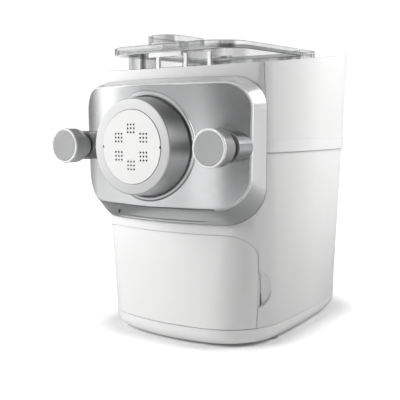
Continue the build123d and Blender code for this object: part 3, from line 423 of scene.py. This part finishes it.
FINISH = {
    "housing_shell": "shell", "front_fascia": "fascia", "top_deck": "deck", "display_window": "window",
    "switches": "dark", "control_board": "board", "display_module": "part", "base_tray": "base",
    "rubber_feet": "rubber", "load_cells": "plate", "chassis": "white_inner", "knob_studs": "steel",
    "mixing_chamber": "clear_chamber", "shaft_seal": "seal", "chamber_clip": "clip",
    "gearbox_housing": "grey", "gearbox_cover": "grey", "idler_axle": "steel", "output_bearings": "bearing",
    "motor_housing": "motor", "motor_stator": "stack", "side_bands": "band", "lid_hinge_ears": "deck",
    "hinge_pins": "steel", "power_inlet": "dark", "power_board": "board", "board_components": "part",
    "gearbox_screws": "screw", "base_screws": "screw", "drawer_rails": "white_inner",
    "button_start": "button", "button_minus": "button", "button_plus": "button", "button_menu": "button",
    "output_gear": "gear", "drive_shaft": "steel", "mixing_paddle": "auger", "extruder_auger": "auger",
    "idler_gear": "gear", "motor_shaft": "steel", "motor_armature": "stack", "motor_pinion": "gear",
    "front_panel": "panel", "nut_collar": "collar", "panel_back": "grey", "extrusion_tube": "white_inner",
    "tube_seal": "seal", "knob_bosses": "boss", "shaping_disc": "die", "flange_screws": "screw",
    "die_nut": "nut", "left_knob": "knob", "left_knob_cap": "knob_cap", "right_knob": "knob",
    "right_knob_cap": "knob_cap", "lid": "clear_lid", "lid_inlet": "clear_inlet", "lid_seal": "seal",
    "drawer_front": "drawer", "drawer_tray": "white_inner",
}
for node, obj in NODES.items():
    finish = M[FINISH.get(node, "white_inner")]
    if obj.material_slots:
        for s in obj.material_slots:
            s.material = finish
    else:
        obj.data.materials.append(finish)


# ------------------------------------------------------------------ pieces
def make(name, bm, body, material, smooth=35.0):
    """A finished mesh piece riding on a CAD body."""
    bmesh.ops.recalc_face_normals(bm, faces=bm.faces)
    me = bpy.data.meshes.new(name)
    bm.to_mesh(me)
    bm.free()
    me.shade_smooth()
    me.set_sharp_from_angle(angle=math.radians(smooth))
    ob = bpy.data.objects.new(name, me)
    bpy.context.scene.collection.objects.link(ob)
    me.materials.append(material)
    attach(ob, body)
    return ob


def prism(bm, outline, height, bevel=0.00012, base=0.0):
    """A closed prism over a plan outline (x, y), with its top edge bevelled."""
    n = len(outline)
    cx = sum(p[0] for p in outline) / n
    cy = sum(p[1] for p in outline) / n
    rings = []
    levels = ((0.0, base), (0.0, height - bevel), (0.45 * bevel, height - 0.3 * bevel), (bevel, height))
    for inset, z in levels:
        ring = []
        for x, y in outline:
            d = math.hypot(x - cx, y - cy) or 1.0
            k = max(0.0, 1 - inset / d)
            ring.append(bm.verts.new((cx + (x - cx) * k, cy + (y - cy) * k, z)))
        rings.append(ring)
    for a, b in zip(rings, rings[1:]):
        for i in range(n):
            bm.faces.new((a[i], a[(i + 1) % n], b[(i + 1) % n], b[i]))
    bm.faces.new(rings[-1])
    bm.faces.new(rings[0][::-1])


def round_rect(w, h, r, n=5, cx=0.0, cy=0.0):
    pts = []
    for sx, sy, a0 in ((1, -1, -90), (1, 1, 0), (-1, 1, 90), (-1, -1, 180)):
        for i in range(n + 1):
            a = math.radians(a0 + 90 * i / n)
            pts.append((cx + sx * (w / 2 - r) + r * math.cos(a), cy + sy * (h / 2 - r) + r * math.sin(a)))
    return pts


def on_top(node, normal):
    """Where a CAD node's top face is, square to normal: its frame as a matrix."""
    n = Vector(normal).normalized()
    co = [v.co for v in NODES[node].data.vertices]
    top = max(c.dot(n) for c in co)
    face = [c for c in co if c.dot(n) > top - 2e-5]
    mid = sum(face, Vector()) / len(face)
    lo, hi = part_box(node)
    cen = (lo + hi) / 2
    cen = cen + n * (top - cen.dot(n))
    x = Vector((1, 0, 0))
    y = n.cross(x).normalized()
    return Matrix((
        (x.x, y.x, n.x, cen.x), (x.y, y.y, n.y, cen.y), (x.z, y.z, n.z, cen.z), (0, 0, 0, 1),
    ))


DECK_N = (0, -0.115, 1)
mm = 0.001
symbols = {
    "button_plus": [round_rect(6.0 * mm, 1.0 * mm, 0.45 * mm), round_rect(1.0 * mm, 6.0 * mm, 0.45 * mm)],
    "button_minus": [round_rect(6.0 * mm, 1.0 * mm, 0.45 * mm)],
    "button_menu": [round_rect(5.4 * mm, 0.8 * mm, 0.38 * mm, cy=k * 1.8 * mm) for k in (-1, 0, 1)],
    "button_start": [[(-1.9 * mm, -2.6 * mm), (2.7 * mm, 0.0), (-1.9 * mm, 2.6 * mm)]],
}
BODY_OF_BUTTON = {"button_plus": "plus_button", "button_minus": "minus_button", "button_menu": "menu_button", "button_start": "start_button"}
M["mark"] = surface("mark_dark_grey", (0.11, 0.11, 0.115), 0.45, var=0.05, grain=2600, grain_bump=0.08)
for node, shapes in symbols.items():
    place = on_top(node, DECK_N)
    bm = bmesh.new()
    if node == "button_plus":
        # one cross outline, so that no two prisms run through each other
        a, b = 3.0 * mm, 0.5 * mm
        shapes = [[(b, -a), (b, -b), (a, -b), (a, b), (b, b), (b, a), (-b, a), (-b, b), (-a, b), (-a, -b), (-b, -b), (-b, -a)]]
    for outline in shapes:
        prism(bm, outline, 0.22 * mm, 0.06 * mm, base=-0.15 * mm)
    bmesh.ops.transform(bm, matrix=place, verts=bm.verts)
    make(node + "_symbol", bm, BODY_OF_BUTTON[node], M["mark"])


# front panel: bowed face, rounded fold, sloping bevel, all one even mesh
FACE = dict(w=94.4, flare=0.011, zt=55.2, zb=-54.6, ct=22.0, cb=29.0, y=21.6, r=188.0, lean=0.0156)
RIM = dict(w=99.3, flare=0.0, zt=61.7, zb=-70.5, ct=28.0, cb=35.0, y=41.2, r=217.0, lean=0.0)


def between(k, off=0.0):
    """Sizes of the panel's outline part way from the fold (0) to the rim (1), off inside it."""
    d = {a: FACE[a] + (RIM[a] - FACE[a]) * k for a in FACE}
    d["w"] -= off
    d["zt"] -= off
    d["zb"] += off
    d["y"] += off
    d["r"] -= off
    d["ct"] -= 0.6 * off
    d["cb"] -= 0.6 * off
    return d


def shield(d, arc=16, side=16, flat=34):
    """Rounded outline, from the lower right corner round by the top, as x, z."""
    wt, wb = d["w"] + d["flare"] * d["zt"], d["w"] + d["flare"] * d["zb"]
    ct, cb = d["ct"], d["cb"]
    runs = []
    for cx, cz, r, a0 in (
        (wb - cb, d["zb"] + cb, cb, -90), (wt - ct, d["zt"] - ct, ct, 0),
        (-wt + ct, d["zt"] - ct, ct, 90), (-wb + cb, d["zb"] + cb, cb, 180),
    ):
        runs.append([
            (cx + r * math.cos(math.radians(a0 + 90 * i / arc)), cz + r * math.sin(math.radians(a0 + 90 * i / arc)))
            for i in range(arc + 1)
        ])
    pts = []
    for i, run in enumerate(runs):
        pts += run
        nxt = runs[(i + 1) % 4][0]
        n = side if i in (0, 2) else flat
        for q in range(1, n):
            t = q / n
            pts.append((run[-1][0] + (nxt[0] - run[-1][0]) * t, run[-1][1] + (nxt[1] - run[-1][1]) * t))
    return pts


def lay(d, pts):
    """Lay x, z points on the bowed surface of those sizes."""
    return [
        Vector((x, d["y"] - d["lean"] * z + d["r"] - math.sqrt(d["r"] ** 2 - x * x), z)) for x, z in pts
    ]


def curve(a, b, c, n):
    """Soft turn from a by the corner b to c."""
    out = []
    for i in range(n + 1):
        t = i / n
        out.append([p * (1 - t) ** 2 + q * 2 * t * (1 - t) + r * t * t for p, q, r in zip(a, b, c)])
    return out


def skin(off):
    """Rows of points from the opening round the nut to the rim."""
    d0, d1 = between(0.0, off), between(1.0, off)
    edge = shield(d0)
    hole = []
    for x, z in edge:
        a = math.atan2(z, x)
        hole.append((49.75 * math.cos(a), 49.75 * math.sin(a)))
    rows = []
    steps = [0.0, 0.03, 0.1, 0.2, 0.32, 0.45, 0.58, 0.7, 0.81, 0.9]
    for t in steps:
        rows.append(lay(d0, [(h[0] + (e[0] - h[0]) * t, h[1] + (e[1] - h[1]) * t) for h, e in zip(hole, edge)]))
    fold = lay(d0, edge)
    rim = lay(d1, shield(d1))
    soft = 1.5 if off == 0 else 0.8
    a = []
    for h, e in zip(hole, edge):
        run = math.hypot(e[0] - h[0], e[1] - h[1])
        t = 1 - soft / run
        a.append((h[0] + (e[0] - h[0]) * t, h[1] + (e[1] - h[1]) * t))
    a = lay(d0, a)
    c = [f + (q - f).normalized() * soft for f, q in zip(fold, rim)]
    rows += curve(a, fold, c, 6)
    return rows, fold, rim, c


rows, fold, rim, start = skin(0.0)
for k in (0.2, 0.4, 0.6, 0.7):
    rows.append([s0 + (q - s0) * k for s0, q in zip(start, rim)])
for k, up in ((0.765, 0.0), (0.785, 0.22), (0.80, 0.3), (0.815, 0.22), (0.835, 0.0)):
    row = []
    for s0, q in zip(start, rim):
        p = s0 + (q - s0) * k
        m = max(0.0, min(1.0, (p.x + 53) / 4)) * max(0.0, min(1.0, (51 - p.x) / 4)) if p.z < -55 else 0.0
        row.append(p + Vector((0, -0.63, -0.78)) * up * m)
    rows.append(row)
back_rows, back_fold, back_rim, back_start = skin(2.2)
inner_edge = [f + (q - f) * 0.888 for f, q in zip(back_fold, back_rim)]
near = [q - (q - s0).normalized() * 0.6 for s0, q in zip(start, rim)]
turn = [q + (e - q).normalized() * 0.6 for e, q in zip(inner_edge, rim)]
rows.append([q - (q - s0).normalized() * 1.15 for s0, q in zip(start, rim)])
rows += curve(near, rim, turn, 4)
rows.append([q + (e - q) * 0.6 for e, q in zip(inner_edge, rim)])
rows.append(inner_edge)
rows += [[s0 + (e - s0) * k for s0, e in zip(back_start, inner_edge)] for k in (0.6, 0.25)]
rows += back_rows[::-1]
bm = bmesh.new()
grid = [[bm.verts.new(R(*p)) for p in row] for row in rows]
n = len(grid[0])
for a, b in zip(grid, grid[1:] + grid[:1]):
    for i in range(n):
        bm.faces.new((a[i], b[i], b[(i + 1) % n], a[(i + 1) % n]))
bm.faces.ensure_lookup_table()
# painted highlight: the fold's faces along the top and right take the bright fold finish; painted shade: the lower fold
# and a band of rows round the outer rim take the dark edge finish
for r in range(len(rows)):
    for i in range(n):
        x, z = fold[i].x, fold[i].z
        if 10 <= r <= 15 and (z > 30 or x > 62):
            bm.faces[r * n + i].material_index = 1
        elif 11 <= r <= 14 and z < -45:
            bm.faces[r * n + i].material_index = 2
        elif 26 <= r <= 30:
            bm.faces[r * n + i].material_index = 2
panel = make("front_panel_shell", bm, "panel", M["panel"], 40.0)
panel.data.materials.append(surface("silver_fold_painted_highlight", (0.60, 0.605, 0.61), 0.34, metal=0.3, var=0.01, grain=8000, grain_bump=0.02, corner=((0.5, 0.0, 1.0), 0.165, 0.192, (0.93, 0.935, 0.94))))
panel.data.materials.append(surface("silver_edge_painted_shadow", (0.26, 0.265, 0.27), 0.35, metal=0.7, var=0.01, grain=8000, grain_bump=0.03))


def cut(ob, cutter):
    """Take one closed mesh out of another."""
    mod = ob.modifiers.new("cut", "BOOLEAN")
    mod.operation = "DIFFERENCE"
    mod.solver = "EXACT"
    mod.object = cutter
    dg = bpy.context.evaluated_depsgraph_get()
    me = bpy.data.meshes.new_from_object(ob.evaluated_get(dg))
    ob.modifiers.clear()
    ob.data = me
    me.shade_smooth()
    me.set_sharp_from_angle(angle=math.radians(38))
    bpy.data.objects.remove(cutter, do_unlink=True)


def tool(bm, name):
    bmesh.ops.recalc_face_normals(bm, faces=bm.faces)
    me = bpy.data.meshes.new(name)
    bm.to_mesh(me)
    bm.free()
    ob = bpy.data.objects.new(name, me)
    scene_now = bpy.context.scene.collection
    scene_now.objects.link(ob)
    return ob


bm = bmesh.new()
for sx in (-1, 1):
    a = [bm.verts.new(R(sx * 81.5 + 8 * math.cos(t * math.pi / 16), 20, 8 * math.sin(t * math.pi / 16))) for t in range(32)]
    b = [bm.verts.new(R(sx * 81.5 + 8 * math.cos(t * math.pi / 16), 60, 8 * math.sin(t * math.pi / 16))) for t in range(32)]
    for i in range(32):
        bm.faces.new((a[i], a[(i + 1) % 32], b[(i + 1) % 32], b[i]))
    bm.faces.new(a[::-1])
    bm.faces.new(b)
cut(panel, tool(bm, "stud_holes"))
# small drain notch in the lower bevel
bm = bmesh.new()
f0 = lay(FACE, [(-46.0, -54.6), (-37.5, -54.6), (-52.0, -54.6)])
f1 = lay(RIM, [(-46.0, -70.5), (-37.5, -70.5), (-52.0, -70.5)])
tri = [f0[0] + (f1[0] - f0[0]) * 0.26, f0[1] + (f1[1] - f0[1]) * 0.27, f0[2] + (f1[2] - f0[2]) * 0.74]
inward = Vector((0, 0.63, 0.78))
a = [bm.verts.new(R(*(t - inward * 1.0))) for t in tri]
b = [bm.verts.new(R(*(t + inward * 1.6))) for t in tri]
bm.faces.new(a)
bm.faces.new(b[::-1])
for i in range(3):
    bm.faces.new((a[i], b[i], b[(i + 1) % 3], a[(i + 1) % 3]))
cut(panel, tool(bm, "notch"))
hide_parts("front_panel")


def spin(profile, flats=(), seg=128, x=0.0, z=0.0):
    """Turned shape about a line along Y from (radius, y) points; flats are (angle, distance,
    y0, y1) planes that shave it."""
    bm = bmesh.new()
    rings = []
    for r, y in profile:
        if r < 1e-6:
            rings.append([bm.verts.new(R(x, y, z))])
            continue
        ring = []
        for i in range(seg):
            a = 2 * math.pi * i / seg
            q = r
            for ang, dist, y0, y1 in flats:
                if y0 <= y <= y1:
                    c = math.cos(a - math.radians(ang))
                    if c > 0.2:
                        q = min(q, dist / c)
            ring.append(bm.verts.new(R(x + q * math.cos(a), y, z + q * math.sin(a))))
        rings.append(ring)
    for a, b in zip(rings, rings[1:]):
        if len(a) == 1 and len(b) == 1:
            continue
        for i in range(seg):
            j = (i + 1) % seg
            if len(a) == 1:
                bm.faces.new((a[0], b[i], b[j]))
            elif len(b) == 1:
                bm.faces.new((a[i], b[0], a[j]))
            else:
                bm.faces.new((a[i], b[i], b[j], a[j]))
    return bm


# clamp knobs: grey dished face in a bright rim, shaved grips, round shoulder, neck
for side, sx in (("left", -1), ("right", 1)):
    kx = 81.5 * sx
    y = -0.6
    kr = 16.35
    rim_ring = spin([
        (14.3, y + 1.3), (14.3, y + 0.35), (14.45, y + 0.12), (14.8, y + 0.02), (15.5, y + 0.02), (15.95, y + 0.15),
        (16.22, y + 0.45), (kr, y + 0.95), (kr, y + 1.9), (16.2, y + 2.15), (15.9, y + 2.3), (15.0, y + 2.3), (15.0, y + 1.3), (14.3, y + 1.3),
    ], x=kx)
    bmesh.ops.remove_doubles(rim_ring, verts=rim_ring.verts, dist=1e-7)
    ob = make(side + "_knob_rim", rim_ring, "knob_" + side, M["knob_rim"], 40)
    grips = [(a, 14.55, y + 3.4, y + 14.2) for a in (55, 125, 235, 305)]
    body_rows = [(0.0, y + 1.5), (14.9, y + 1.5), (14.9, y + 2.4), (15.75, y + 2.42), (15.95, y + 2.6), (16.0, y + 2.9), (16.0, y + 3.35), (16.0, y + 3.45)]
    body_rows += [(16.0, y + 3.45 + 10.6 * i / 12) for i in range(1, 13)]
    body_rows += [(16.0, y + 14.25)]
    for i in range(1, 9):
        a = math.radians(90 * i / 8)
        body_rows.append((12.2 + 3.8 * math.cos(a), y + 14.25 + 3.3 * math.sin(a)))
    body_rows += [(11.25, y + 17.6), (11.0, y + 17.8), (11.0, 24.0), (10.8, 24.5), (10.4, 24.85), (5.1, 24.85), (5.1, 18.1), (0.0, 18.1)]
    ob = make(side + "_knob_body", spin(body_rows, grips, x=kx), "knob_" + side, M["knob"], 28)
    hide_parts(side + "_knob")
    cap = [(0.0, y + 0.55), (4.0, y + 0.52), (8.0, y + 0.44), (11.5, y + 0.3), (13.4, y + 0.2), (13.95, y + 0.24), (14.15, y + 0.42), (14.15, y + 1.4), (0.0, y + 1.4)]
    ob = make(side + "_knob_face", spin(cap, x=kx), "knob_" + side, M["knob_cap"], 40)
    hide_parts(side + "_knob_cap")


# painted shade: a mid-grey ring that fills the gap between nut and collar, following the bow of the panel, so the gap
# shows grey shade
bm = bmesh.new()
seal_rows = []
for i in range(160):
    a = 2 * math.pi * i / 160
    ring = []
    for r, back in ((44.95, 0.9), (45.36, 0.75), (45.36, 2.6), (44.95, 2.6)):
        x, z = r * math.cos(a), r * math.sin(a)
        y = FACE["y"] - FACE["lean"] * z + FACE["r"] - math.sqrt(FACE["r"] ** 2 - x * x) + back
        ring.append(bm.verts.new(R(x, y, z)))
    seal_rows.append(ring)
for a, b in zip(seal_rows, seal_rows[1:] + seal_rows[:1]):
    for k in range(4):
        bm.faces.new((a[k], a[(k + 1) % 4], b[(k + 1) % 4], b[k]))
M["gap_seal"] = surface("gap_seal_grey", (0.42, 0.425, 0.43), 0.5, var=0.02, grain=2600, grain_bump=0.08)
make("nut_gap_seal", bm, "panel", M["gap_seal"], 40)


# ------------------------------------------------------------------ floor, light, camera
scene = bpy.context.scene
scene.view_settings.view_transform = "Standard"
scene.view_settings.look = "None"

bm = bmesh.new()
bmesh.ops.create_grid(bm, x_segments=8, y_segments=8, size=6.0)
me = bpy.data.meshes.new("floor")
bm.to_mesh(me)
bm.free()
floor = bpy.data.objects.new("floor", me)
scene.collection.objects.link(floor)
fm, nt, sh, vec = _new("floor_pale")
tone = _noise(nt, vec, 3.0, 2.0, 0.5)
lpf = nt.nodes.new("ShaderNodeLightPath")
pale = _mix(nt, tone, (0.90, 0.90, 0.90), (0.93, 0.93, 0.93))
# painted reflection: the floor is dark grey where it is seen in reflections
nt.links.new(_mix(nt, lpf.outputs["Is Glossy Ray"], pale, (0.3, 0.3, 0.3)), sh.inputs["Base Color"])
sh.inputs["Roughness"].default_value = 0.6
sh.inputs["Emission Color"].default_value = (1, 1, 1, 1)
# painted light: the floor glows for camera rays, more away from the foot of the machine, so it reads white with a
# painted shadow round the foot; in reflections it glows more with distance
shift = nt.nodes.new("ShaderNodeVectorMath")
shift.operation = "SUBTRACT"
shift.inputs[1].default_value = (0.0, 0.02, 0.0)
nt.links.new(vec, shift.inputs[0])
away = nt.nodes.new("ShaderNodeVectorMath")
away.operation = "ABSOLUTE"
nt.links.new(shift.outputs["Vector"], away.inputs[0])
less = nt.nodes.new("ShaderNodeVectorMath")
less.operation = "SUBTRACT"
less.inputs[1].default_value = (0.035, 0.062, 0.0)
nt.links.new(away.outputs["Vector"], less.inputs[0])
out_of = nt.nodes.new("ShaderNodeVectorMath")
out_of.operation = "MAXIMUM"
out_of.inputs[1].default_value = (0.0, 0.0, 0.0)
nt.links.new(less.outputs["Vector"], out_of.inputs[0])
dist = nt.nodes.new("ShaderNodeVectorMath")
dist.operation = "LENGTH"
nt.links.new(out_of.outputs["Vector"], dist.inputs[0])
near_foot = _range(nt, dist.outputs["Value"], 0.06, 0.62, 0.058, 0.09)
far_off = _range(nt, dist.outputs["Value"], 0.0, 0.5, 0.09, 0.2)
both = nt.nodes.new("ShaderNodeMath")
both.operation = "ADD"
nt.links.new(near_foot, both.inputs[0])
nt.links.new(far_off, both.inputs[1])
glow = both.outputs["Value"]
mirrored = nt.nodes.new("ShaderNodeMath")
mirrored.operation = "MULTIPLY"
nt.links.new(_range(nt, dist.outputs["Value"], 0.0, 0.8, 0.1, 1.0), mirrored.inputs[0])
nt.links.new(lpf.outputs["Is Glossy Ray"], mirrored.inputs[1])
seen = nt.nodes.new("ShaderNodeMath")
seen.operation = "MULTIPLY_ADD"
nt.links.new(glow, seen.inputs[0])
nt.links.new(lpf.outputs["Is Camera Ray"], seen.inputs[1])
nt.links.new(mirrored.outputs["Value"], seen.inputs[2])
nt.links.new(seen.outputs["Value"], sh.inputs["Emission Strength"])
me.materials.append(fm)

world = bpy.data.worlds.new("studio")
scene.world = world
world.use_nodes = True
wn = world.node_tree
wn.nodes.clear()
wo = wn.nodes.new("ShaderNodeOutputWorld")
bg_seen = wn.nodes.new("ShaderNodeBackground")
bg_seen.inputs["Color"].default_value = (1, 1, 1, 1)
bg_seen.inputs["Strength"].default_value = 1.05
bg_lit = wn.nodes.new("ShaderNodeBackground")
bg_lit.inputs["Color"].default_value = (1, 1, 1, 1)
bg_lit.inputs["Strength"].default_value = 0.01
lp = wn.nodes.new("ShaderNodeLightPath")
bg_gloss = wn.nodes.new("ShaderNodeBackground")
bg_gloss.inputs["Color"].default_value = (1, 1, 1, 1)
bg_gloss.inputs["Strength"].default_value = 0.5
gl = wn.nodes.new("ShaderNodeMixShader")
wn.links.new(lp.outputs["Is Glossy Ray"], gl.inputs["Fac"])
wn.links.new(bg_lit.outputs["Background"], gl.inputs[1])
wn.links.new(bg_gloss.outputs["Background"], gl.inputs[2])
mx = wn.nodes.new("ShaderNodeMixShader")
either = wn.nodes.new("ShaderNodeMath")
either.operation = "MAXIMUM"
wn.links.new(lp.outputs["Is Camera Ray"], either.inputs[0])
wn.links.new(lp.outputs["Is Transmission Ray"], either.inputs[1])
wn.links.new(either.outputs["Value"], mx.inputs["Fac"])
wn.links.new(gl.outputs["Shader"], mx.inputs[1])
wn.links.new(bg_seen.outputs["Background"], mx.inputs[2])
wn.links.new(mx.outputs["Shader"], wo.inputs["Surface"])


def softbox(name, loc, target, w, h, power, spread=180):
    la = bpy.data.lights.new(name, "AREA")
    la.shape = "RECTANGLE"
    la.size, la.size_y = w, h
    la.energy = power
    la.spread = math.radians(spread)
    ob = bpy.data.objects.new(name, la)
    scene.collection.objects.link(ob)
    ob.location = loc
    ob.rotation_euler = (Vector(target) - Vector(loc)).to_track_quat("-Z", "Y").to_euler()
    return ob


def around(az, dist, z):
    """A place round the machine: az in degrees from the front, positive to its right."""
    a = math.radians(az)
    return (dist * math.sin(a), -dist * math.cos(a), z)


softbox("key_left", around(-38, 1.75, 1.02), (0, 0, 0.15), 1.1, 1.1, 37).visible_glossy = False
softbox("right_rear", (0.62, 0.30, 0.62), (0.05, 0.03, 0.17), 0.4, 0.5, 3.1).visible_glossy = False
softbox("right_near", (0.30, 0.10, 0.30), (0.1, 0.10, 0.24), 0.12, 0.3, 0.32).visible_glossy = False
sun = bpy.data.lights.new("overhead_dome", "SUN")
sun.energy = 0.05
sun.angle = math.radians(45)
sun_ob = bpy.data.objects.new("overhead_dome", sun)
scene.collection.objects.link(sun_ob)


def card(name, az0, az1, dist, z0, z1, grey, diffuse=False):
    """A curved studio card that only darkens or lightens what the machine reflects."""
    bm = bmesh.new()
    n = 24
    rows = []
    for z in (z0, (z0 + z1) / 2, z1):
        rows.append([bm.verts.new(around(az0 + (az1 - az0) * i / n, dist, z)) for i in range(n + 1)])
    for a, b in zip(rows, rows[1:]):
        for i in range(n):
            bm.faces.new((a[i], a[i + 1], b[i + 1], b[i]))
    me = bpy.data.meshes.new(name)
    bm.to_mesh(me)
    bm.free()
    ob = bpy.data.objects.new(name, me)
    scene.collection.objects.link(ob)
    cm, nt, sh, vec = _new(name + "_cloth")
    tone = _noise(nt, vec, 4.0, 2.0, 0.5)
    nt.links.new(_mix(nt, tone, (0.02, 0.02, 0.02), (0.03, 0.03, 0.03)), sh.inputs["Base Color"])
    sh.inputs["Roughness"].default_value = 0.9
    sh.inputs["Emission Color"].default_value = (1, 1, 1, 1)
    sh.inputs["Emission Strength"].default_value = grey
    me.materials.append(cm)
    ob.visible_camera = False
    ob.visible_shadow = False
    ob.visible_diffuse = diffuse
    ob.visible_transmission = False
    return ob


card("flag_front", 6, 70, 1.15, 0.0, 1.3, 0.16)
card("strip_left", -80, -60, 1.3, 0.16, 1.2, 1.9)
card("strip_mid", -60, -42, 1.3, 0.1, 1.2, 0.95)
card("strip_low", -5, 13, 1.1, 0.0, 0.15, 1.7)
card("strip_right", 72, 98, 1.3, 0.0, 1.2, 2.4)
card("wall_right", 98, 150, 1.3, 0.0, 0.36, 0.95)
card("wall_right_high", 98, 150, 1.3, 0.52, 1.3, 2.2)

cam_data = bpy.data.cameras.new("camera")
cam_data.sensor_width = 36.0
cam_data.lens = 61.73
cam_data.clip_start = 0.01
cam = bpy.data.objects.new("camera", cam_data)
scene.collection.objects.link(cam)
cam.location = (0.38874, -0.60672, 0.20068)
cam.rotation_euler = (math.radians(90 - 5.92), 0, math.radians(34.38))
scene.camera = cam
